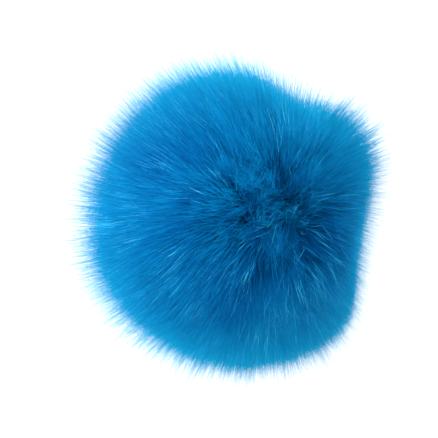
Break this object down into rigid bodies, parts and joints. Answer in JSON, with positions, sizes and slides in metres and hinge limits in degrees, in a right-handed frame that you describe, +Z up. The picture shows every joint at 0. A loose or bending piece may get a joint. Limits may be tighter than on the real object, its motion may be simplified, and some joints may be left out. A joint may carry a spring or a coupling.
{
  "type": "faux fur pom pom",
  "caption": "Round ball of long bright blue faux fur, parted at the top, resting on a small flat spot underneath.",
  "frame": {"origin": "middle of the flat spot under the ball, on the surface that it rests on", "axes": "+Z up through the ball to the parting of its fur; +X towards the side where the ball is drawn in and its fur gathers"},
  "size_m": [0.1079, 0.1085, 0.096],
  "materials": {
    "fur": "soft"
  },
  "bodies": {
    "root": {"fur_ball": "fur"}
  },
  "joints": []
}
